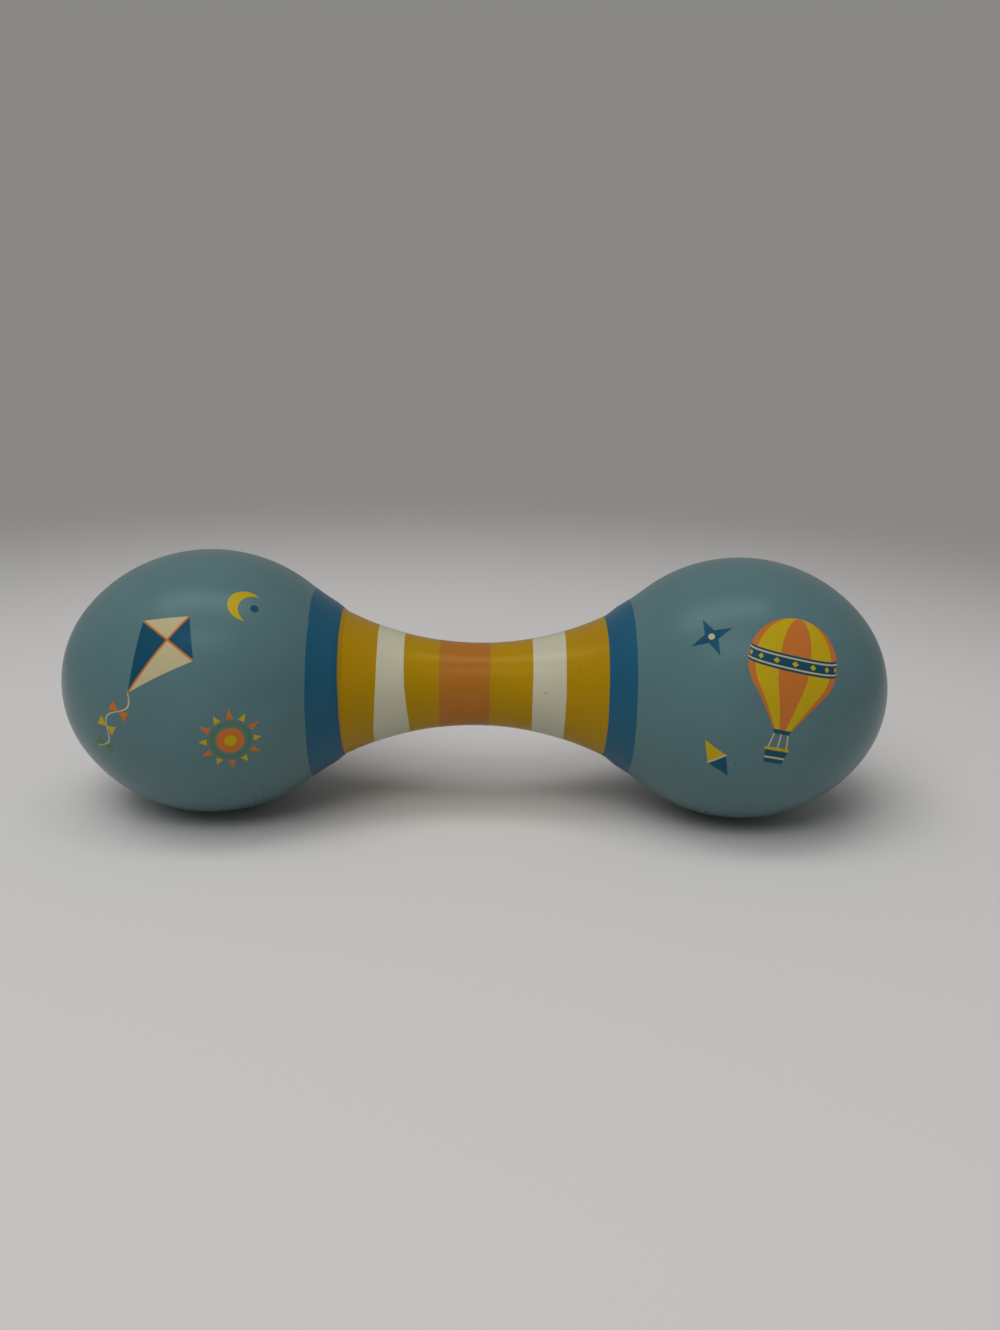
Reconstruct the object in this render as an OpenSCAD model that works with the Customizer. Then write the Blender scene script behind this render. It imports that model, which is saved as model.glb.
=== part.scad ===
// Double-headed wooden baby rattle, lying on its side.
// Five turned pieces are glued into one hollow shell, and loose beads rattle in both heads.
// X runs along the rattle, and Z = 0 is the surface that the two heads lie on.

/* [Outline] */
// Distance between the widest points of the two heads
head_spacing = 102.6; // [96:0.2:112]
// Length from the widest point of a head to its outer end
nose_length = 28.7; // [26:0.1:31]
// Diameter of a head at its widest point
head_diameter = 51.2; // [47:0.2:55]
// Diameter at the middle of the waist
waist_diameter = 16.3; // [13:0.1:20]
// Radius of the rounded outer end, as a share of the head's radius
nose_share = 0.895; // [0.86:0.005:0.93]

/* [Hollow heads] */
// Wall of a head at its glued seam
wall = 5; // [4:0.1:6]
// How far the seam lies outside the widest point
seam_offset = 1.8; // [0:0.1:4]
// Length of the tongue on a dome that enters its neck cup
tongue_length = 3; // [2:0.1:5]
// Thickness of that tongue at the seam
tongue_thickness = 2.4; // [1.5:0.1:3]

/* [Handle joints] */
// Diameter of the tenon at each end of the handle
tenon_diameter = 18; // [12:0.5:20]
// Length of a tenon, whose end is level with the bottom of the chamber
tenon_length = 7.3; // [5:0.1:11]
// How far the handle's end lies inside the curve of the necks
joint_step = 0.5; // [0.2:0.1:1]
// Length over which the end of a neck is eased down to the handle
joint_ease = 2; // [1:0.1:4]
// Room for glue round each tenon and tongue, and past their ends
glue_gap = 0.05; // [0.02:0.01:0.2]

/* [Beads] */
// Diameter of a loose bead
bead_diameter = 6; // [4:0.1:7]
// Gap between resting beads, and between a bead and the chamber
bead_gap = 0.2; // [0.1:0.05:0.4]
// Number of beads in the row along the bottom of a chamber
lower_beads = 6; // [4:1:6]

/* [Hidden] */
$fn = 180;
head_radius = head_diameter / 2;
waist_radius = waist_diameter / 2;
head_station = head_spacing / 2;
end_station = head_station + nose_length;
axis_height = head_radius;
clear_radius = head_diameter;
// The nose's arc is a hair larger than one that only touches the shoulder's, so that the two cross cleanly
arc_overlap = 0.001;

// The outline of a head is three arcs that run into each other: the neck, the shoulder and the nose
nose_arc = nose_share * head_radius;
shoulder_radius = (pow(nose_length, 2) - 2 * nose_length * nose_arc + pow(head_radius, 2))
    / (2 * (head_radius - nose_arc));
waist_drop = shoulder_radius + waist_radius - head_radius;
neck_arc = (pow(head_station, 2) + pow(waist_drop, 2) - pow(shoulder_radius, 2))
    / (2 * (shoulder_radius - waist_drop));
shoulder_centre = head_radius - shoulder_radius;
neck_end = head_station * neck_arc / (neck_arc + shoulder_radius);
shoulder_end = head_station
    + (nose_length - nose_arc) * shoulder_radius / (shoulder_radius - nose_arc);

// Each chamber is a sphere whose centre lies in the seam, so both halves are half spheres
seam_station = head_station + seam_offset;
seam_radius = shoulder_centre + sqrt(pow(shoulder_radius, 2) - pow(seam_offset, 2));
chamber_radius = seam_radius - wall;
tongue_radius = chamber_radius + tongue_thickness;
tenon_radius = tenon_diameter / 2;
tenon_end = seam_station - chamber_radius;
handle_joint = tenon_end - tenon_length;
tenon_root = handle_joint - tenon_length / 2;

// The handle's own arc is flatter than the necks', and a cone takes up the difference at each joint
joint_radius = neck_radius(handle_joint) - joint_step;
handle_rise = joint_radius - waist_radius;
handle_arc = (pow(handle_joint, 2) + pow(handle_rise, 2)) / (2 * handle_rise);
eased_station = handle_joint + joint_ease;

// Lower beads lie along an arc of the chamber, and top beads rest in every second hollow between them
bead_pitch = bead_diameter + bead_gap;
bead_track = chamber_radius - bead_diameter / 2 - bead_gap;
bead_step = 2 * asin(bead_pitch / 2 / bead_track);
top_beads = floor(lower_beads / 2);
top_track = bead_track * cos(bead_step / 2) - bead_pitch * sin(60);

SIDES = ["left", "right"];

// Radius of a neck's arc at a station
function neck_radius(station) = waist_radius + neck_arc - sqrt(pow(neck_arc, 2) - pow(station, 2));

// Angle of a bead from the bottom of its chamber, along the rattle
function lower_angle(i) = (i - (lower_beads + 1) / 2) * bead_step;
function top_angle(i) = lower_angle(2 * i - 0.5);

// Turns a half section, drawn with its radius along X and its station along Y, round the long axis
module turned() {
    translate([0, 0, axis_height]) rotate([0, 90, 0]) rotate_extrude() children();
}

module on_side(side) {
    mirror([side == "left" ? 1 : 0, 0, 0]) children();
}

// A stretch of the half section between two stations, out to a radius
module stretch(start, stop, radius = clear_radius) {
    translate([0, start]) square([radius, stop - start]);
}

// The arc of radius arc that hollows the side of the waist
module waist_hollow(arc) {
    translate([waist_radius + arc, 0]) circle(arc);
}

// The solid outline of the right head, with its neck carried on to the middle of the rattle.
// The shoulder's arc bounds it beyond the neck, and the nose's arc bounds it beyond the shoulder.
module head_outline() {
    difference() {
        intersection() {
            union() {
                stretch(0, neck_end);
                translate([shoulder_centre, head_station]) circle(shoulder_radius);
            }
            union() {
                stretch(0, shoulder_end);
                translate([0, end_station - nose_arc - arc_overlap]) circle(nose_arc + arc_overlap);
            }
            stretch(0, end_station + nose_length);
        }
        waist_hollow(neck_arc);
    }
}

// What is turned off the end of a neck, so that it meets the handle flush
module ease_section() {
    polygon([
        [joint_radius, handle_joint],
        [clear_radius, handle_joint],
        [clear_radius, eased_station],
        [neck_radius(eased_station), eased_station]
    ]);
}

module chamber_section() {
    translate([0, seam_station]) circle(chamber_radius);
}

// Turned waist with a tenon at each end
module handle() {
    color("#b08a1e") turned() {
        difference() {
            stretch(-handle_joint, handle_joint);
            waist_hollow(handle_arc);
        }
        stretch(-tenon_end, -tenon_root, tenon_radius);
        stretch(tenon_root, tenon_end, tenon_radius);
    }
}

// Inner half of a head, bored for the handle's tenon and rebated for the dome's tongue
module neck_cup(side) {
    color("#5c7e84") on_side(side) turned() difference() {
        intersection() {
            head_outline();
            stretch(handle_joint, seam_station);
        }
        ease_section();
        chamber_section();
        stretch(0, seam_station, tenon_radius + glue_gap);
        stretch(seam_station - tongue_length - glue_gap, end_station, tongue_radius + glue_gap);
    }
}

// Outer half of a head, with the tongue that is glued into the neck cup
module dome(side) {
    color("#5c7e84") on_side(side) turned() difference() {
        union() {
            intersection() {
                head_outline();
                stretch(seam_station, end_station + nose_length);
            }
            stretch(seam_station - tongue_length, seam_station + tongue_length, tongue_radius);
        }
        chamber_section();
    }
}

// One loose bead, on an arc round the centre of its chamber
module bead(side, angle, track) {
    color("#d8b27c") on_side(side) translate([seam_station, 0, axis_height])
        translate([track * sin(angle), 0, -track * cos(angle)]) sphere(d = bead_diameter, $fn = 48);
}

handle();
for (side = SIDES) {
    neck_cup(side);
    dome(side);
    for (i = [1:lower_beads])
        bead(side, lower_angle(i), bead_track);
    for (i = [1:top_beads])
        bead(side, top_angle(i), top_track);
}
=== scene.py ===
import math

import bmesh
import bpy
from mathutils import Matrix, Vector


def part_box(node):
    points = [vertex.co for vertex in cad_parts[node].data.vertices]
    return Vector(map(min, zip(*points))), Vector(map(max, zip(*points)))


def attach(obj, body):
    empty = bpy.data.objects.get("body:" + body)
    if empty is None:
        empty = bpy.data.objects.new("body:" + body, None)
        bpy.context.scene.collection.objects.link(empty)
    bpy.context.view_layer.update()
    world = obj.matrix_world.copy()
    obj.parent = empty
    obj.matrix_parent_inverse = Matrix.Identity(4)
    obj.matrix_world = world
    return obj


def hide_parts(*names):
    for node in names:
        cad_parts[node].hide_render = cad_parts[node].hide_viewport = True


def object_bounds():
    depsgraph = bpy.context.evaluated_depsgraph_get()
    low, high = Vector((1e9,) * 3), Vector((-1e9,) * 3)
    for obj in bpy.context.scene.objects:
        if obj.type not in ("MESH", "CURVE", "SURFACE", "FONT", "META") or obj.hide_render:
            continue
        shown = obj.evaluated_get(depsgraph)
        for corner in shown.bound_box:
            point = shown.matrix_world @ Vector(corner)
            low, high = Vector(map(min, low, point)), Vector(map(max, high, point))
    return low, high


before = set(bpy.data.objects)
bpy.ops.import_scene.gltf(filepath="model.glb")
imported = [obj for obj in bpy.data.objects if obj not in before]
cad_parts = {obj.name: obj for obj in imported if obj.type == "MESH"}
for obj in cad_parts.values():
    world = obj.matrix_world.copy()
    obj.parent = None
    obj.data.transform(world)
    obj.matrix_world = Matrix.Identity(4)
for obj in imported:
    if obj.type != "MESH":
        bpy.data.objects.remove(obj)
cad_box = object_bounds()


# Handle
# A beech spindle turned to a hollow-sided waist, with a tenon at each end that is glued into a head.
# It is sprayed mustard, then masked for two cream bands, an orange one and the edge of a navy one.

MM = 0.001
HEAD_SPACING = 102.6 * MM
WAIST_RADIUS = 8.15 * MM
NOSE_SHARE = 0.895
JOINT_STEP = 0.5 * MM
TENON_RADIUS = 9 * MM
COAT_ALLOWANCE = 0.06 * MM
STRIPE_FILM = 0.03 * MM
EDGE_SLOPE = 0.08 * MM
EDGE_RIPPLE = 0.04 * MM
# Waves round a masked edge, how far the seed shifts them, and their share of the ripple
RIPPLE_WAVES = [(2, 1.0, 1.0), (5, 2.3, 0.6), (11, 4.1, 0.35)]
CREEP_ANGLE = math.radians(-50)
RING_STEP = 0.6 * MM
TURNED_SEGMENTS = 192
ON_AXIS = 1e-7
CORNER_ANGLE = math.radians(16)
HIGHLIGHT_TINT = 0.38
SPECK_SIZE = 0.13
SHINIEST, DULLEST = 0.23, 0.34
GRAIN_RELIEF = 0.5

end_station = cad_box[1].x
axis_height = (cad_box[0].z + cad_box[1].z) / 2
head_radius = axis_height
head_station = HEAD_SPACING / 2
nose_length = end_station - head_station
nose_arc = NOSE_SHARE * head_radius
shoulder_radius = nose_length ** 2 - 2 * nose_length * nose_arc + head_radius ** 2
shoulder_radius = shoulder_radius / (2 * (head_radius - nose_arc))
waist_drop = shoulder_radius + WAIST_RADIUS - head_radius
neck_arc = head_station ** 2 + waist_drop ** 2 - shoulder_radius ** 2
neck_arc = neck_arc / (2 * (shoulder_radius - waist_drop))
tenon_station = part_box("handle")[1].x
handle_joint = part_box("right_neck_cup")[0].x
joint_radius = WAIST_RADIUS + neck_arc - math.sqrt(neck_arc ** 2 - handle_joint ** 2) - JOINT_STEP
handle_rise = joint_radius - WAIST_RADIUS
handle_arc = (handle_joint ** 2 + handle_rise ** 2) / (2 * handle_rise)


def handle_outline(along, lift):
    """Radius of the waist's hollow arc at a distance from the middle, for a coat that lifts it."""
    return WAIST_RADIUS + handle_arc - math.sqrt((handle_arc - lift) ** 2 - along ** 2)


def skin(outline, station, film=0.0, edge=None):
    """A point of the painted outside, where a stripe's masked edge wanders as it goes round."""
    def at(angle):
        wandered = station + (edge(angle) if edge else 0.0)
        return wandered, outline(abs(wandered), film - COAT_ALLOWANCE)
    return at


def bare(station, radius):
    """A point of an unpainted turned face."""
    return lambda angle: (station, radius)


def skin_run(outline, start, stop, finish, film=0.0, first_edge=None, last_edge=None):
    """Points of the outside between two stations, both left out, which follow the stray of both edges."""
    count = max(int(abs(stop - start) / RING_STEP), 1)

    def between(share):
        def stray(angle):
            first = first_edge(angle) if first_edge else 0.0
            last = last_edge(angle) if last_edge else 0.0
            return first + (last - first) * share
        return skin(outline, start + (stop - start) * share, film, stray)

    return [(between(i / count), finish) for i in range(1, count)]


def masked_edge(seed, lean):
    """How a taped edge strays from a true circle; lean is its stray at the lower front, where paint crept."""
    def stray(angle):
        ripple = 0.0
        for waves, shift, share in RIPPLE_WAVES:
            ripple = ripple + share * math.sin(waves * angle + shift * seed)
        creep = max(math.cos(angle - CREEP_ANGLE), 0.0) ** 2
        return EDGE_RIPPLE * ripple + lean * creep
    return stray


def striped(outline, stripes, stop, seed):
    """Points of the outside, from stripes given as start, finish, film and lean of the first edge."""
    edges = [None]
    for i, (_, _, _, lean) in enumerate(stripes[1:], 1):
        edges.append(masked_edge(seed + i, lean))
    edges.append(None)
    stops = [stripe[0] for stripe in stripes[1:]] + [stop]
    points = []
    for i, (start, finish, film, _) in enumerate(stripes):
        if i == 0:
            points.append((skin(outline, start, film), finish))
        else:
            _, finish_before, film_before, _ = stripes[i - 1]
            slope_finish = finish if film > film_before else finish_before
            points.append((skin(outline, start - EDGE_SLOPE / 2, film_before, edges[i]), slope_finish))
            points.append((skin(outline, start + EDGE_SLOPE / 2, film, edges[i]), finish))
        points += skin_run(outline, start, stops[i], finish, film, edges[i], edges[i + 1])
    return points


def turned_piece(name, profile, closed=False):
    """A mesh turned from (point, finish) pairs round the long axis. Angle 0 is the front, 90 degrees up."""
    verts, rings, faces, paints = [], [], [], []
    finishes = list(dict.fromkeys(finish for _, finish in profile))
    for point, _ in profile:
        on_axis = point(0.0)[1] < ON_AXIS
        ring = []
        for i in range(1 if on_axis else TURNED_SEGMENTS):
            angle = 2 * math.pi * i / TURNED_SEGMENTS
            station, radius = point(angle)
            ring.append(len(verts))
            verts.append((station, -radius * math.cos(angle), axis_height + radius * math.sin(angle)))
        rings.append(ring)
    pairs = list(zip(rings, rings[1:])) + ([(rings[-1], rings[0])] if closed else [])
    for (lower, upper), (_, finish) in zip(pairs, profile):
        for i in range(TURNED_SEGMENTS):
            j = (i + 1) % TURNED_SEGMENTS
            corners = [lower[i % len(lower)], upper[i % len(upper)]]
            corners += [upper[j % len(upper)], lower[j % len(lower)]]
            faces.append(list(dict.fromkeys(corners)))
            paints.append(finishes.index(finish))
    mesh = bpy.data.meshes.new(name)
    mesh.from_pydata(verts, [], faces)
    for finish in finishes:
        mesh.materials.append(finish)
    mesh.polygons.foreach_set("material_index", paints)
    mesh.polygons.foreach_set("use_smooth", [True] * len(faces))
    mesh.set_sharp_from_angle(angle=CORNER_ANGLE)
    mesh.validate()
    piece = bpy.data.objects.new(name, mesh)
    bpy.context.collection.objects.link(piece)
    return piece


def colour(red, green, blue, lift=1.0):
    """An 8-bit sRGB colour as linear light."""
    def linear(value):
        share = value / 255
        return share / 12.92 if share <= 0.04045 else ((share + 0.055) / 1.055) ** 2.4
    return tuple(min(linear(c) * lift, 1.0) for c in (red, green, blue)) + (1.0,)


def new_finish(name):
    """An empty material with its shader, and short ways to add a node and to link two."""
    finish = bpy.data.materials.new(name)
    finish.use_nodes = True
    tree = finish.node_tree
    shader = tree.nodes["Principled BSDF"]

    def add(kind, **settings):
        node = tree.nodes.new(kind)
        for key, value in settings.items():
            if key in node.inputs:
                node.inputs[key].default_value = value
            else:
                setattr(node, key, value)
        return node

    return finish, shader, add, tree.links.new


def satin_paint(name, shade, specks):
    """Sprayed satin paint on beech: a cloudy coat, specks, handling marks, orange peel and faint grain."""
    finish, shader, add, link = new_finish(name)
    shader.inputs["Specular IOR Level"].default_value = 0.28
    hue = colour(*shade)[:3]
    tint = tuple((c / max(hue)) ** HIGHLIGHT_TINT for c in hue)
    shader.inputs["Specular Tint"].default_value = tint + (1.0,)
    place = add("ShaderNodeTexCoord").outputs["Object"]
    cloud = add("ShaderNodeTexNoise", Scale=85.0, Detail=4.0)
    link(place, cloud.inputs["Vector"])
    coat = add("ShaderNodeMix", data_type="RGBA")
    coat.inputs["A"].default_value = colour(*shade, lift=0.9)
    coat.inputs["B"].default_value = colour(*shade, lift=1.1)
    link(cloud.outputs["Fac"], coat.inputs["Factor"])
    dots = add("ShaderNodeTexVoronoi", Scale=620.0)
    link(place, dots.inputs["Vector"])
    small = add("ShaderNodeMath", operation="LESS_THAN")
    small.inputs[1].default_value = SPECK_SIZE
    link(dots.outputs["Distance"], small.inputs[0])
    chosen = add("ShaderNodeSeparateColor")
    link(dots.outputs["Color"], chosen.inputs["Color"])
    few = add("ShaderNodeMath", operation="LESS_THAN")
    few.inputs[1].default_value = specks
    link(chosen.outputs["Red"], few.inputs[0])
    dirt = add("ShaderNodeMath", operation="MULTIPLY")
    link(small.outputs[0], dirt.inputs[0])
    link(few.outputs[0], dirt.inputs[1])
    soiled = add("ShaderNodeMix", data_type="RGBA")
    soiled.inputs["B"].default_value = colour(*shade, lift=0.6)
    link(coat.outputs["Result"], soiled.inputs["A"])
    link(dirt.outputs[0], soiled.inputs["Factor"])
    link(soiled.outputs["Result"], shader.inputs["Base Color"])
    handled = add("ShaderNodeTexNoise", Scale=40.0, Detail=5.0, Roughness=0.6)
    link(place, handled.inputs["Vector"])
    gloss = add("ShaderNodeMapRange")
    gloss.inputs["From Min"].default_value = 0.3
    gloss.inputs["From Max"].default_value = 0.7
    gloss.inputs["To Min"].default_value = SHINIEST
    gloss.inputs["To Max"].default_value = DULLEST
    link(handled.outputs["Fac"], gloss.inputs["Value"])
    link(gloss.outputs["Result"], shader.inputs["Roughness"])
    peel = add("ShaderNodeTexNoise", Scale=1300.0, Detail=2.0)
    link(place, peel.inputs["Vector"])
    along = add("ShaderNodeMapping")
    along.inputs["Scale"].default_value = (60.0, 1500.0, 1500.0)
    link(place, along.inputs["Vector"])
    grain = add("ShaderNodeTexNoise", Scale=1.0, Detail=3.0)
    link(along.outputs["Vector"], grain.inputs["Vector"])
    relief = add("ShaderNodeMath", operation="MULTIPLY_ADD")
    relief.inputs[1].default_value = GRAIN_RELIEF
    link(grain.outputs["Fac"], relief.inputs[0])
    link(peel.outputs["Fac"], relief.inputs[2])
    bump = add("ShaderNodeBump", Strength=0.15, Distance=0.03 * MM)
    link(relief.outputs[0], bump.inputs["Height"])
    link(bump.outputs["Normal"], shader.inputs["Normal"])
    return finish


def bare_beech(name):
    """Sanded beech: pale tan, with long streaks, the short dark flecks of its rays, and a dry surface."""
    finish, shader, add, link = new_finish(name)
    place = add("ShaderNodeTexCoord").outputs["Object"]
    along = add("ShaderNodeMapping")
    along.inputs["Scale"].default_value = (40.0, 420.0, 420.0)
    link(place, along.inputs["Vector"])
    streaks = add("ShaderNodeTexNoise", Scale=1.0, Detail=6.0, Distortion=0.6)
    link(along.outputs["Vector"], streaks.inputs["Vector"])
    timber = add("ShaderNodeMix", data_type="RGBA")
    timber.inputs["A"].default_value = colour(176, 132, 84)
    timber.inputs["B"].default_value = colour(222, 186, 138)
    link(streaks.outputs["Fac"], timber.inputs["Factor"])
    short = add("ShaderNodeMapping")
    short.inputs["Scale"].default_value = (500.0, 2600.0, 2600.0)
    link(place, short.inputs["Vector"])
    rays = add("ShaderNodeTexVoronoi", Scale=1.0)
    link(short.outputs["Vector"], rays.inputs["Vector"])
    fleck = add("ShaderNodeMapRange")
    fleck.inputs["From Min"].default_value = 0.12
    fleck.inputs["From Max"].default_value = 0.3
    fleck.inputs["To Min"].default_value = 0.35
    fleck.inputs["To Max"].default_value = 0.0
    link(rays.outputs["Distance"], fleck.inputs["Value"])
    flecked = add("ShaderNodeMix", data_type="RGBA")
    flecked.inputs["B"].default_value = colour(140, 92, 54)
    link(timber.outputs["Result"], flecked.inputs["A"])
    link(fleck.outputs["Result"], flecked.inputs["Factor"])
    link(flecked.outputs["Result"], shader.inputs["Base Color"])
    shader.inputs["Roughness"].default_value = 0.62
    bump = add("ShaderNodeBump", Strength=0.3, Distance=0.05 * MM)
    link(streaks.outputs["Fac"], bump.inputs["Height"])
    link(bump.outputs["Normal"], shader.inputs["Normal"])
    return finish


beech = bare_beech("bare_beech")
mustard = satin_paint("mustard_paint", (171, 131, 12), specks=0.015)
cream = satin_paint("cream_paint", (194, 190, 166), specks=0.09)
orange = satin_paint("orange_paint", (171, 107, 38), specks=0.015)
navy = satin_paint("navy_paint", (33, 88, 115), specks=0.01)

# Where each stripe starts, from left to right, its finish and film, and the lean of that edge
STRIPES = [
    (-handle_joint, mustard, 0.0, 0.0),
    (-19.0 * MM, cream, STRIPE_FILM, -0.6 * MM),
    (-14.0 * MM, mustard, 0.0, 1.0 * MM),
    (-7.2 * MM, orange, STRIPE_FILM, 0.0),
    (2.4 * MM, mustard, 0.0, 0.0),
    (10.65 * MM, cream, STRIPE_FILM, 0.0),
    (16.8 * MM, mustard, 0.0, 0.0),
    (24.67 * MM, navy, STRIPE_FILM, 0.0),
]
handle_profile = [
    (bare(-tenon_station, 0.0), beech),
    (bare(-tenon_station, TENON_RADIUS), beech),
    (bare(-handle_joint, TENON_RADIUS), beech),
]
handle_profile += striped(handle_outline, STRIPES, handle_joint, 0.0)
handle_profile += [
    (skin(handle_outline, handle_joint, STRIPE_FILM), beech),
    (bare(handle_joint, TENON_RADIUS), beech),
    (bare(tenon_station, TENON_RADIUS), beech),
    (bare(tenon_station, 0.0), beech),
]
handle = turned_piece("handle_turned", handle_profile)
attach(handle, "shell")
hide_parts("handle")


# Neck cups
# The inner half of each head, turned and bored for the handle's tenon, hollowed to half a sphere and rebated.
# It is sprayed blue-grey with a navy band round the neck, and on the left one a little mustard runs over.

JOINT_EASE = 2 * MM
REBATE_DEPTH = 3.05 * MM
REBATE_THICKNESS = 2.45 * MM
BORE_RADIUS = 9.05 * MM
HOLLOW_STEPS = 24
CUP_SEED, CUP_SEED_STEP = 9.0, 3

eased_station = handle_joint + JOINT_EASE
eased_radius = WAIST_RADIUS + neck_arc - math.sqrt(neck_arc ** 2 - eased_station ** 2)
ease_slope = (eased_radius - joint_radius) / JOINT_EASE
neck_end = head_station * neck_arc / (neck_arc + shoulder_radius)
shoulder_end = head_station + (nose_length - nose_arc) * shoulder_radius / (shoulder_radius - nose_arc)
seam_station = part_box("right_neck_cup")[1].x
chamber_radius = seam_station - tenon_station
blue_grey = satin_paint("blue_grey_paint", (87, 118, 122), specks=0.006)
# Where each stripe starts, from the joint outwards, its finish and film, and the lean of that edge
NECK_STRIPES = {
    "left": [
        (handle_joint, mustard, 0.0, 0.0),
        (26.1 * MM, navy, STRIPE_FILM, -0.65 * MM),
        (31.4 * MM, blue_grey, 0.0, 0.0),
    ],
    "right": [
        (handle_joint, navy, STRIPE_FILM, 0.0),
        (29.45 * MM, blue_grey, 0.0, 0.0),
    ],
}


def head_outline(along, lift):
    """Radius of a head at a distance from the middle: its eased end, then its neck, shoulder and nose."""
    if along < eased_station:
        return joint_radius + lift * math.hypot(1.0, ease_slope) + (along - handle_joint) * ease_slope
    if along < neck_end:
        return WAIST_RADIUS + neck_arc - math.sqrt((neck_arc - lift) ** 2 - along ** 2)
    if along < shoulder_end:
        rise = math.sqrt((shoulder_radius + lift) ** 2 - (along - head_station) ** 2)
        return head_radius - shoulder_radius + rise
    return math.sqrt((nose_arc + lift) ** 2 - (along - end_station + nose_arc) ** 2)


def hollow(start_angle, stop_angle):
    """Points of the chamber's half sphere; its angle is 0 at the seam and 90 degrees at its deepest."""
    points = []
    for i in range(HOLLOW_STEPS + 1):
        turn = start_angle + (stop_angle - start_angle) * i / HOLLOW_STEPS
        station = seam_station + chamber_radius * math.sin(turn)
        radius = max(chamber_radius * math.cos(turn), 0.0)
        points.append((bare(station, radius), beech))
    return points


def mirrored(profile):
    """The same profile on the left head, run backwards so that its faces still look outwards."""
    def flip(point):
        return lambda angle: (-point(angle)[0], point(angle)[1])
    points = [flip(point) for point, _ in profile][::-1]
    finishes = [finish for _, finish in profile]
    return list(zip(points, finishes[-2::-1] + finishes[-1:]))


rebate_radius = chamber_radius + REBATE_THICKNESS
rebate_station = seam_station - REBATE_DEPTH
rebate_turn = math.asin(-REBATE_DEPTH / chamber_radius)
bore_turn = -math.acos(BORE_RADIUS / chamber_radius)
for seed, (side, stripes) in enumerate(NECK_STRIPES.items()):
    cup_profile = striped(head_outline, stripes, seam_station, CUP_SEED + CUP_SEED_STEP * seed)
    cup_profile += [
        (skin(head_outline, seam_station), beech),
        (bare(seam_station, rebate_radius), beech),
        (bare(rebate_station, rebate_radius), beech),
    ]
    cup_profile += hollow(rebate_turn, bore_turn)
    cup_profile.append((bare(handle_joint, BORE_RADIUS), beech))
    if side == "left":
        cup_profile = mirrored(cup_profile)
    cup = turned_piece(side + "_neck_cup_turned", cup_profile, closed=True)
    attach(cup, "shell")
    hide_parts(side + "_neck_cup")


# Beads
# Loose tumbled beech beads, sealed in the heads, which roll round the chambers and hop on each other.
# They are bare wood, and the CAD spheres are their real shape.

for name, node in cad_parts.items():
    if "_bead_" in name:
        node.data.materials.clear()
        node.data.materials.append(beech)


# Domes
# The outer half of each head, turned with a rounded nose and hollowed, with a tongue glued into the neck cup.
# It is sprayed together with the neck cup, so the paint runs over the seam and hides it.

TONGUE_THICKNESS = 2.4 * MM
NOSE_STEPS = 40

tongue_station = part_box("right_dome")[0].x
tongue_radius = chamber_radius + TONGUE_THICKNESS
tongue_turn = math.asin((tongue_station - seam_station) / chamber_radius)
nose_start = math.asin((shoulder_end - end_station + nose_arc) / nose_arc)
dome_profile = hollow(math.pi / 2, tongue_turn)
dome_profile += [
    (bare(tongue_station, tongue_radius), beech),
    (bare(seam_station, tongue_radius), beech),
    (skin(head_outline, seam_station), blue_grey),
]
dome_profile += skin_run(head_outline, seam_station, shoulder_end, blue_grey)
nose_skin = nose_arc - COAT_ALLOWANCE
for i in range(NOSE_STEPS):
    turn = nose_start + (math.pi / 2 - nose_start) * i / NOSE_STEPS
    station = end_station - nose_arc + nose_skin * math.sin(turn)
    dome_profile.append((bare(station, nose_skin * math.cos(turn)), blue_grey))
dome_profile.append((bare(end_station - COAT_ALLOWANCE, 0.0), blue_grey))
for side, dome_points in (("left", mirrored(dome_profile)), ("right", dome_profile)):
    dome = turned_piece(side + "_dome_turned", dome_points)
    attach(dome, "shell")
    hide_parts(side + "_dome")


# Printed motifs
# Small pictures that are pad-printed on the painted heads before the last coat of lacquer.
# Each ink is a film a few hundredths of a millimetre thick, and the later inks lie over the earlier ones.

INK_FILM = 0.02 * MM
OVERPRINT = 0.015 * MM
INK_STEP = 0.8 * MM
INK_WELD = 0.002 * MM

ink_orange = satin_paint("orange_ink", (194, 112, 48), specks=0.03)
ink_yellow = satin_paint("yellow_ink", (192, 164, 25), specks=0.03)
ink_navy = satin_paint("navy_ink", (23, 73, 97), specks=0.03)
ink_cream = satin_paint("cream_ink", (192, 180, 139), specks=0.03)
ink_green = satin_paint("green_ink", (79, 118, 73), specks=0.03)
INKS = [ink_orange, ink_yellow, ink_navy, ink_cream, ink_green]
O_INK, Y_INK, N_INK, C_INK, G_INK = range(5)


def head_point(arc, angle, lift):
    """A point on the right head's paint, by its angle and its way along the outline from the widest point."""
    shoulder_turn = math.asin((shoulder_end - head_station) / shoulder_radius)
    turn = arc / shoulder_radius
    station = head_station + shoulder_radius * math.sin(turn)
    radius = head_radius - shoulder_radius + shoulder_radius * math.cos(turn)
    if turn > shoulder_turn:
        turn = shoulder_turn + (arc - shoulder_turn * shoulder_radius) / nose_arc
        station = end_station - nose_arc + nose_arc * math.sin(turn)
        radius = nose_arc * math.cos(turn)
    station = station + (lift - COAT_ALLOWANCE) * math.sin(turn)
    radius = radius + (lift - COAT_ALLOWANCE) * math.cos(turn)
    return Vector((station, -radius * math.cos(angle), axis_height + radius * math.sin(angle))), radius


def line(*points):
    """A straight-sided path through points in millimetres, with a point at every ink step."""
    path = [points[0]]
    for (x0, y0), (x1, y1) in zip(points, points[1:]):
        count = max(math.ceil(math.hypot(x1 - x0, y1 - y0) * MM / INK_STEP), 1)
        path += [(x0 + (x1 - x0) * i / count, y0 + (y1 - y0) * i / count) for i in range(1, count + 1)]
    return path


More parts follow.
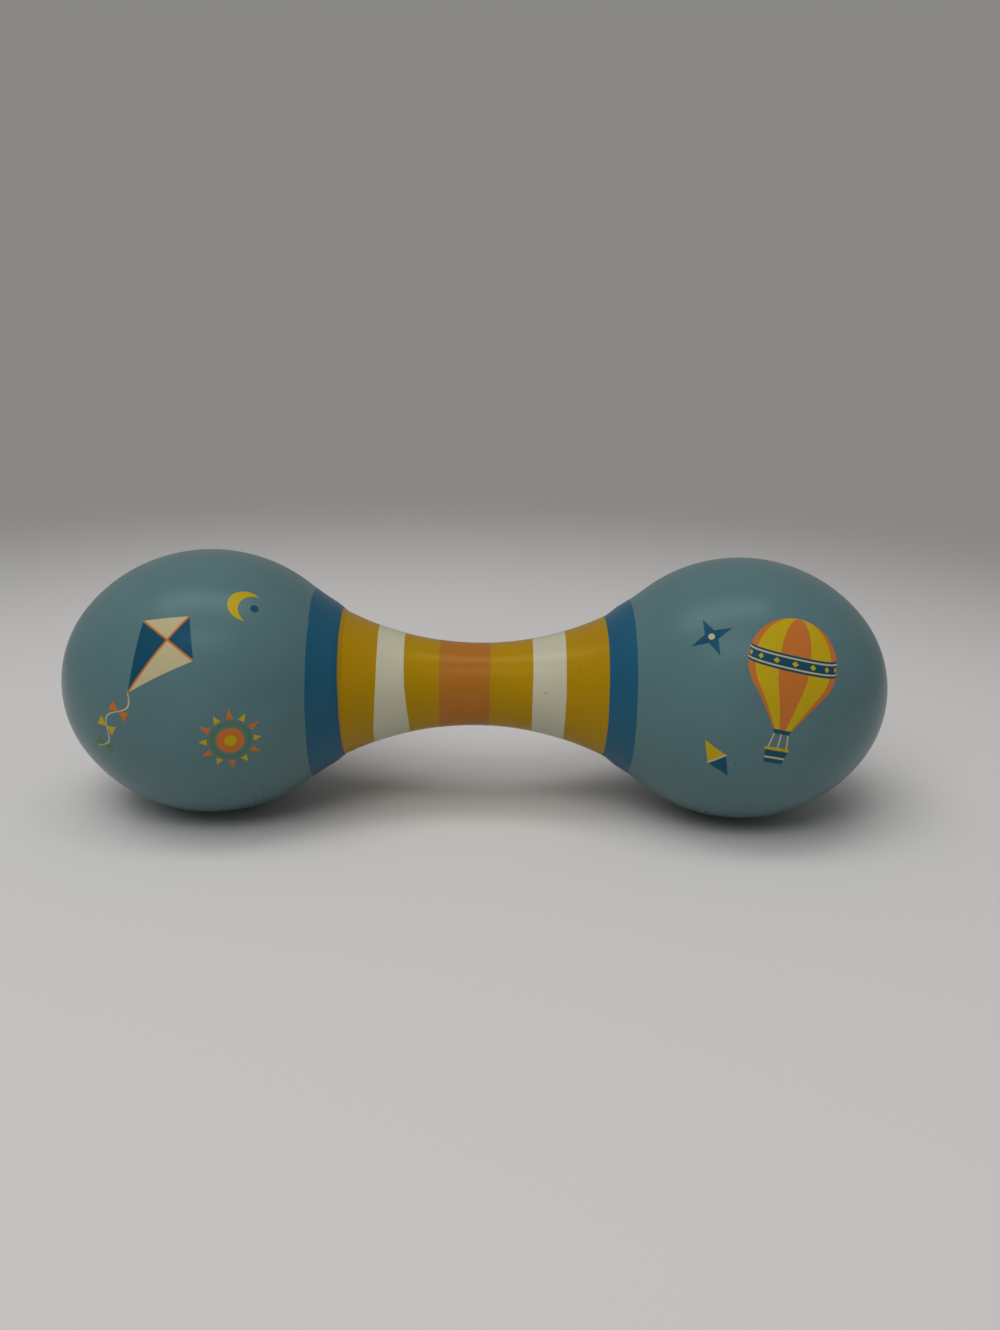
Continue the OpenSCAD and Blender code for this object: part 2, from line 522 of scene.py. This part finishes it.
def bow(x, y, radius, start, stop, count=16):
    """Points of an arc, in millimetres and degrees."""
    turns = [math.radians(start + (stop - start) * i / count) for i in range(count + 1)]
    return [(x + radius * math.cos(turn), y + radius * math.sin(turn)) for turn in turns]


def disc(x, y, radius, ink, layer, count=16):
    """A round ink patch, between its upper and its lower half border."""
    return bow(x, y, radius, 180, 0, count), bow(x, y, radius, 180, 360, count), ink, layer


def matched(one, other):
    """Two borders of an ink patch, with points added to the shorter one so that both have as many."""
    count = max(len(one), len(other))

    def spread(path):
        share = (len(path) - 1) / (count - 1)
        points = []
        for i in range(count):
            k = min(int(i * share), len(path) - 2)
            part = i * share - k
            (x0, y0), (x1, y1) = path[k], path[k + 1]
            points.append((x0 + (x1 - x0) * part, y0 + (y1 - y0) * part))
        return points

    return spread(one), spread(other)


def print_on(name, side, motif, arc, up, turn):
    """Prints a motif's (border, border, ink, layer) patches on a head. Up is in degrees above the front."""
    sign = 1 if side == "right" else -1
    cos_turn, sin_turn = math.cos(math.radians(turn)), math.sin(math.radians(turn))
    base = math.radians(up)
    print_mesh = bmesh.new()

    def over(point, lift):
        x, y = point[0] * MM, point[1] * MM
        along = arc * MM + sign * (x * cos_turn - y * sin_turn)
        _, radius = head_point(along, 0.0, lift)
        spot, _ = head_point(along, base + (x * sin_turn + y * cos_turn) / radius, lift)
        return (sign * spot.x, spot.y, spot.z)

    for one, other, ink, layer in motif:
        one, other = matched(one, other)
        widest = max(math.dist(a, b) for a, b in zip(one, other)) * MM
        rows = max(math.ceil(widest / INK_STEP), 1)
        lift = INK_FILM + OVERPRINT * layer
        grids = []
        for height in (-INK_FILM, lift):
            grid = []
            for j in range(rows + 1):
                share = j / rows
                row = []
                for (x0, y0), (x1, y1) in zip(one, other):
                    spot = over((x0 + (x1 - x0) * share, y0 + (y1 - y0) * share), height)
                    row.append(print_mesh.verts.new(spot))
                grid.append(row)
            grids.append(grid)
        low, high = grids
        count = len(one)
        quads = []
        for j in range(rows):
            for i in range(count - 1):
                quads.append([high[j][i], high[j][i + 1], high[j + 1][i + 1], high[j + 1][i]])
                quads.append([low[j][i], low[j + 1][i], low[j + 1][i + 1], low[j][i + 1]])
        for i in range(count - 1):
            quads.append([low[0][i], low[0][i + 1], high[0][i + 1], high[0][i]])
            quads.append([low[rows][i + 1], low[rows][i], high[rows][i], high[rows][i + 1]])
        for j in range(rows):
            quads.append([low[j + 1][0], low[j][0], high[j][0], high[j + 1][0]])
            quads.append([low[j][-1], low[j + 1][-1], high[j + 1][-1], high[j][-1]])
        for quad in quads:
            face = print_mesh.faces.new(quad)
            face.material_index = ink
            face.smooth = True
        patch = [v for grid in grids for row in grid for v in row]
        bmesh.ops.remove_doubles(print_mesh, verts=patch, dist=INK_WELD)
    bmesh.ops.recalc_face_normals(print_mesh, faces=print_mesh.faces)
    mesh = bpy.data.meshes.new(name)
    print_mesh.to_mesh(mesh)
    print_mesh.free()
    for ink in INKS:
        mesh.materials.append(ink)
    mesh.set_sharp_from_angle(angle=CORNER_ANGLE)
    piece = bpy.data.objects.new(name, mesh)
    bpy.context.collection.objects.link(piece)
    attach(piece, "shell")


def balloon():
    """A hot-air balloon with gores of two colours, a dotted band, ropes and a basket."""
    radius, crown, mouth, mouth_half = 8.6, 2.0, -10.5, 1.7
    tangent = -38.0
    band_sag, dot_height, dot = 1.1, 2.7, 0.55
    rope_half, rope_spread = 0.14, 1.35

    def half_width(y):
        bottom = crown + radius * math.sin(math.radians(tangent))
        if y >= bottom:
            return math.sqrt(max(radius ** 2 - (y - crown) ** 2, 0.0))
        edge = radius * math.cos(math.radians(tangent))
        share = (bottom - y) / (bottom - mouth)
        return edge + (mouth_half - edge) * share ** 0.9

    def meridian(longitude):
        heights = [crown + radius * math.sin(math.radians(a)) for a in range(90, int(tangent), -8)]
        last = heights[-1]
        heights += [last + (mouth - last) * i / 8 for i in range(1, 9)]
        return [(half_width(y) * math.sin(math.radians(longitude)), y) for y in heights]

    def band_edge(y):
        turns = [math.radians(a) for a in range(-90, 91, 6)]
        return [(half_width(y) * math.sin(t), y - band_sag * math.cos(t)) for t in turns]

    patches = []
    gores = (-90, -58, -20, 20, 58, 90)
    for i, (a, b) in enumerate(zip(gores, gores[1:])):
        patches.append((meridian(a), meridian(b), (O_INK, Y_INK)[i % 2], 0))
    for low, high, ink, layer in ((1.2, 4.2, N_INK, 1), (1.6, 1.9, C_INK, 2), (3.5, 3.8, C_INK, 2)):
        patches.append((band_edge(low), band_edge(high), ink, layer))
    for a in range(-72, 73, 24):
        x = half_width(dot_height) * math.sin(math.radians(a))
        y = dot_height - band_sag * math.cos(math.radians(a))
        squeeze = dot * math.cos(math.radians(a)) + 0.1
        patches.append(([(x - squeeze, y), (x, y + dot), (x + squeeze, y)],
                        [(x - squeeze, y), (x, y - dot), (x + squeeze, y)], Y_INK, 2))
    patches.append((line((-1.7, -10.5), (1.7, -10.5)), line((-1.4, -11.3), (1.4, -11.3)), N_INK, 0))
    for x in (-1.3, 0.0, 1.3):
        patches.append((line((x - rope_half, -11.3), (x * rope_spread - rope_half, -14.2)),
                        line((x + rope_half, -11.3), (x * rope_spread + rope_half, -14.2)), C_INK, 0))
    patches.append((line((-2.2, -14.1), (2.2, -14.1)), line((-1.7, -17.2), (1.7, -17.2)), N_INK, 0))
    patches.append((line((-2.3, -14.0), (2.3, -14.0)), line((-2.3, -14.6), (2.3, -14.6)), Y_INK, 1))
    patches.append((line((-1.9, -15.9), (1.9, -15.9)), line((-1.85, -16.3), (1.85, -16.3)), C_INK, 1))
    return patches


def kite():
    """A four-panelled kite with its sticks, and a wavy tail with three bows."""
    top, left, right, foot = (0.0, 8.0), (-6.2, 2.2), (6.2, 2.2), (0.0, -9.5)
    middle = (0.0, 2.2)
    stick_half, tail_half, tail_sway, bow_length = 0.17, 0.18, 1.5, 2.1
    patches = []
    for a, b, ink in ((left, top, C_INK), (top, right, N_INK), (right, foot, C_INK), (foot, left, N_INK)):
        patches.append((line(a, b), [middle, middle], ink, 0))
    for (x0, y0), (x1, y1) in ((top, foot), (left, right)):
        x, y = (stick_half, 0.0) if x0 == x1 else (0.0, stick_half)
        patches.append((line((x0 - x, y0 - y), (x1 - x, y1 - y)),
                        line((x0 + x, y0 + y), (x1 + x, y1 + y)), O_INK, 1))
    tail = [(tail_sway * math.sin(i * 0.42), foot[1] - i * 0.55) for i in range(24)]
    patches.append(([(x - tail_half, y) for x, y in tail], [(x + tail_half, y) for x, y in tail], C_INK, 0))
    for k, ink in ((7, O_INK), (14, Y_INK), (21, G_INK)):
        x, y = tail[k]
        for tip in (x - bow_length, x + bow_length):
            patches.append((line((x, y), (tip, y + 1.0)), line((x, y), (tip, y - 1.0)), ink, 1))
    return patches


def sun():
    """A sun with a ring round it and short rays."""
    patches = [disc(0, 0, 2.5, O_INK, 0)]
    for start in (0, 180):
        inner, outer = [bow(0, 0, radius, start, start + 180, 24) for radius in (3.1, 3.6)]
        patches.append((inner, outer, G_INK, 0))
    for k in range(12):
        a = 30 * k
        reach, ink = (6.2, O_INK) if k % 2 else (5.6, Y_INK)
        tip = (math.cos(math.radians(a)) * reach, math.sin(math.radians(a)) * reach)
        foot_a, foot_b = bow(0, 0, 4.2, a - 9, a + 9, 1)
        patches.append((line(tip, foot_a), line(tip, foot_b), ink, 0))
    patches.append(disc(0, 0, 1.1, Y_INK, 1, 10))
    return patches


def crescent():
    """A crescent moon with a dot beside it."""
    radius, horn, inner_horn = 3.3, 70, 98
    inner_radius = radius * math.sin(math.radians(horn)) / math.sin(math.radians(inner_horn))
    outer = bow(0, 0, radius, horn, 360 - horn, 28)
    inner = bow(1.9, 0, inner_radius, inner_horn, 360 - inner_horn, 28)
    return [(outer, inner, Y_INK, 0), disc(1.6, 0.3, 0.8, N_INK, 0, 8)]


def star():
    """A four-pointed star with a pale middle."""
    reach, notch = 4.0, 1.3
    patches = []
    for k in range(4):
        a = math.radians(90 * k)
        tip = (math.cos(a) * reach, math.sin(a) * reach)
        side_a = (math.cos(a + math.pi / 4) * notch, math.sin(a + math.pi / 4) * notch)
        side_b = (math.cos(a - math.pi / 4) * notch, math.sin(a - math.pi / 4) * notch)
        patches.append((line((0, 0), side_a, tip), line((0, 0), side_b, tip), N_INK, 0))
    patches.append(disc(0, 0, 0.6, C_INK, 1, 8))
    return patches


def lozenge():
    """A long diamond of two colours with a slim stripe between them."""
    half, height = 1.9, 4.2
    waist = line((-half, 0), (half, 0))
    return [
        (line((-half, 0), (0, height), (half, 0)), waist, Y_INK, 0),
        (line((-half, 0), (0, -height), (half, 0)), waist, N_INK, 0),
        (line((-1.95, 0.2), (1.95, 0.2)), line((-1.95, -0.2), (1.95, -0.2)), C_INK, 1),
    ]


# Each print's name, head and motif, its millimetres along the outline from the widest point,
# its degrees above the front, and the degrees that it is turned by
PRINTS = [
    ("balloon_front", "right", balloon(), 5.0, 24, -10),
    ("star_front", "right", star(), -9.5, 40, 20),
    ("lozenge_front", "right", lozenge(), -8.0, -14, 35),
    ("kite_front", "left", kite(), 5.0, 30, -38),
    ("sun_front", "left", sun(), -7.5, -8, 0),
    ("crescent_front", "left", crescent(), -9.5, 52, -20),
    ("kite_back", "right", kite(), 4.0, 158, 145),
    ("sun_back", "right", sun(), -8.5, 196, 0),
    ("crescent_back", "right", crescent(), -9.0, 128, 200),
    ("balloon_back", "left", balloon(), 4.0, 158, 190),
    ("star_back", "left", star(), -9.5, 136, 0),
    ("lozenge_back", "left", lozenge(), -8.5, 196, 150),
]
for name, side, motif, arc, up, turn in PRINTS:
    print_on(side + "_" + name + "_print", side, motif, arc, up, turn)


# Floor
# A plain pale sheet that the rattle lies on, matt and flat.
# It turns clear away from the rattle, so that it fades into the backdrop's colour.

FLOOR_RADIUS = 1.5
FLOOR_SIDES = 96
FADE_START, FADE_END = 0.12, 0.38

floor_mesh = bpy.data.meshes.new("floor")
floor_turns = [2 * math.pi * i / FLOOR_SIDES for i in range(FLOOR_SIDES)]
floor_rim = [(FLOOR_RADIUS * math.cos(turn), FLOOR_RADIUS * math.sin(turn), 0.0) for turn in floor_turns]
floor_mesh.from_pydata(floor_rim, [], [range(FLOOR_SIDES)])
floor = bpy.data.objects.new("floor", floor_mesh)
bpy.context.collection.objects.link(floor)
sheet, sheet_shader, add, link = new_finish("pale_sheet")
sheet_shader.inputs["Base Color"].default_value = colour(221, 219, 217)
sheet_shader.inputs["Roughness"].default_value = 0.9
sheet_shader.inputs["Specular IOR Level"].default_value = 0.1
place = add("ShaderNodeTexCoord").outputs["Object"]
away = add("ShaderNodeVectorMath", operation="LENGTH")
link(place, away.inputs[0])
fade = add("ShaderNodeMapRange", interpolation_type="SMOOTHSTEP")
fade.inputs["From Min"].default_value = FADE_START
fade.inputs["From Max"].default_value = FADE_END
link(away.outputs["Value"], fade.inputs["Value"])
clear = add("ShaderNodeBsdfTransparent")
faded = add("ShaderNodeMixShader")
link(fade.outputs["Result"], faded.inputs["Fac"])
link(sheet_shader.outputs["BSDF"], faded.inputs[1])
link(clear.outputs["BSDF"], faded.inputs[2])
link(faded.outputs["Shader"], sheet.node_tree.nodes["Material Output"].inputs["Surface"])
floor_mesh.materials.append(sheet)


# Light
# A broad soft box high in front, which the paint doesn't mirror, and two soft strips, which it does.
# An even dim surround fills the shadows.

SURROUND = 0.2
BACKDROP = colour(138, 136, 133)
# Each lamp's name and place, its width and depth, its power, and whether the paint mirrors it
LAMPS = [
    ("lamp_front", (-0.35, -0.6, 1.065), 0.8, 1.0, 6.3, False),
    ("lamp_front_strip", (-0.1, -0.9, 1.2), 1.0, 0.3, 1.6, True),
    ("lamp_overhead_strip", (-0.15, -0.04, 1.2), 1.15, 0.33, 3.1, True),
]

world = bpy.data.worlds.new("studio")
bpy.context.scene.world = world
world.use_nodes = True
nodes, link = world.node_tree.nodes, world.node_tree.links.new
light = nodes["Background"]
light.inputs["Color"].default_value = (1.0, 1.0, 1.0, 1.0)
light.inputs["Strength"].default_value = SURROUND
seen = nodes.new("ShaderNodeBackground")
seen.inputs["Color"].default_value = BACKDROP
path = nodes.new("ShaderNodeLightPath")
direct = nodes.new("ShaderNodeMath")
direct.operation = "MAXIMUM"
link(path.outputs["Is Camera Ray"], direct.inputs[0])
link(path.outputs["Is Glossy Ray"], direct.inputs[1])
shown = nodes.new("ShaderNodeMath")
shown.operation = "MAXIMUM"
link(direct.outputs["Value"], shown.inputs[0])
link(path.outputs["Is Transmission Ray"], shown.inputs[1])
pick = nodes.new("ShaderNodeMixShader")
link(shown.outputs["Value"], pick.inputs["Fac"])
link(light.outputs["Background"], pick.inputs[1])
link(seen.outputs["Background"], pick.inputs[2])
link(pick.outputs["Shader"], nodes["World Output"].inputs["Surface"])
rattle_middle = Vector((0.0, 0.0, axis_height))
for name, spot, width, depth, power, in_gloss in LAMPS:
    lamp = bpy.data.lights.new(name, "AREA")
    lamp.shape = "RECTANGLE"
    lamp.size = width
    lamp.size_y = depth
    lamp.energy = power
    stand = bpy.data.objects.new(name, lamp)
    stand.location = spot
    # The lamp faces the rattle, with its width along it
    back = (Vector(spot) - rattle_middle).normalized()
    wide = (Vector((1.0, 0.0, 0.0)) - back * back.x).normalized()
    stand.rotation_euler = Matrix((wide, back.cross(wide), back)).transposed().to_euler()
    stand.visible_camera = False
    stand.visible_glossy = in_gloss
    bpy.context.collection.objects.link(stand)


# Camera
# A phone's lens close in front of the rattle, looking a little down on it and tilted slightly.
# Its distance and angles are those at which the rattle's outline and stripes fall as in the picture.

LENS_PIXELS = 1290
LONG_SIDE_PIXELS = 1330
SENSOR = 36.0
NEAREST = 0.01
DISTANCE = 253.2 * MM
AIM_RIGHT, AIM_UP = 4.5 * MM, 3.7 * MM
ELEVATION, AZIMUTH, ROLL = math.radians(17), math.radians(-1.24), math.radians(1.18)

lens = bpy.data.cameras.new("camera")
lens.sensor_width = SENSOR
lens.lens = SENSOR * LENS_PIXELS / LONG_SIDE_PIXELS
lens.clip_start = NEAREST
camera = bpy.data.objects.new("camera", lens)
bpy.context.collection.objects.link(camera)
facing = Matrix.Rotation(AZIMUTH, 3, "Z") @ Matrix.Rotation(math.pi / 2 - ELEVATION, 3, "X")
facing = facing @ Matrix.Rotation(ROLL, 3, "Z")
camera.matrix_world = facing.to_4x4()
camera.location = rattle_middle + facing @ Vector((AIM_RIGHT, AIM_UP, DISTANCE))
bpy.context.scene.camera = camera
bpy.context.scene.view_settings.view_transform = "Standard"
